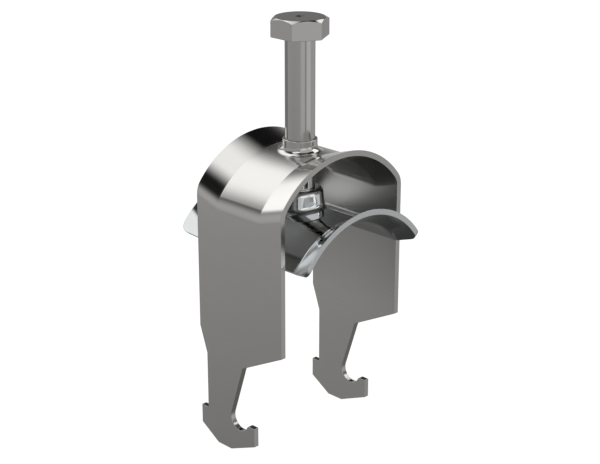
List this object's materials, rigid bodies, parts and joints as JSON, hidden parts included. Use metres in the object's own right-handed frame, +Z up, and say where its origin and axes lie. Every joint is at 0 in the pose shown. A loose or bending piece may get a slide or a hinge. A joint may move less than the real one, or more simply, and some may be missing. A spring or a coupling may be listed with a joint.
{
  "type": "cable clamp",
  "caption": "U-shaped sheet-steel cable clamp with hooked legs for a slotted rail, a hexagon clamping bolt in a drawn collar and a flared pressure tray that presses the cable.",
  "frame": {"origin": "on the bolt's axis, level with the soles of the hooks", "axes": "+Z up along the bolt towards its head, +X across the two legs, +Y along the cable, away from the front tips of the hooks"},
  "size_m": [0.056, 0.06, 0.1465],
  "materials": {
    "strap_steel": "satin rolled stainless sheet, polished where the arch is formed",
    "bolt_steel": "satin turned stainless steel",
    "tray_steel": "polished stainless sheet",
    "washer_steel": "plain stainless steel"
  },
  "bodies": {
    "strap": {"clamp_strap": "strap_steel"},
    "tray": {"pressure_tray": "tray_steel"},
    "bolt": {"hex_bolt": "bolt_steel", "retaining_washer": "washer_steel"}
  },
  "joints": [
    {"name": "tray_travel", "type": "slide", "parent": "strap", "child": "tray", "axis": [0, 0, 1], "range_m": [-0.0335, 0.01]},
    {"name": "bolt_turn", "type": "hinge", "parent": "tray", "child": "bolt", "pos_m": [0, 0, 0.0896], "axis": [0, 0, 1], "range_deg": [-8041, 2401]}
  ],
  "couplings": [
    {"joint": "bolt_turn", "follows": "tray_travel", "rad_per_m": 4188.8}
  ]
}
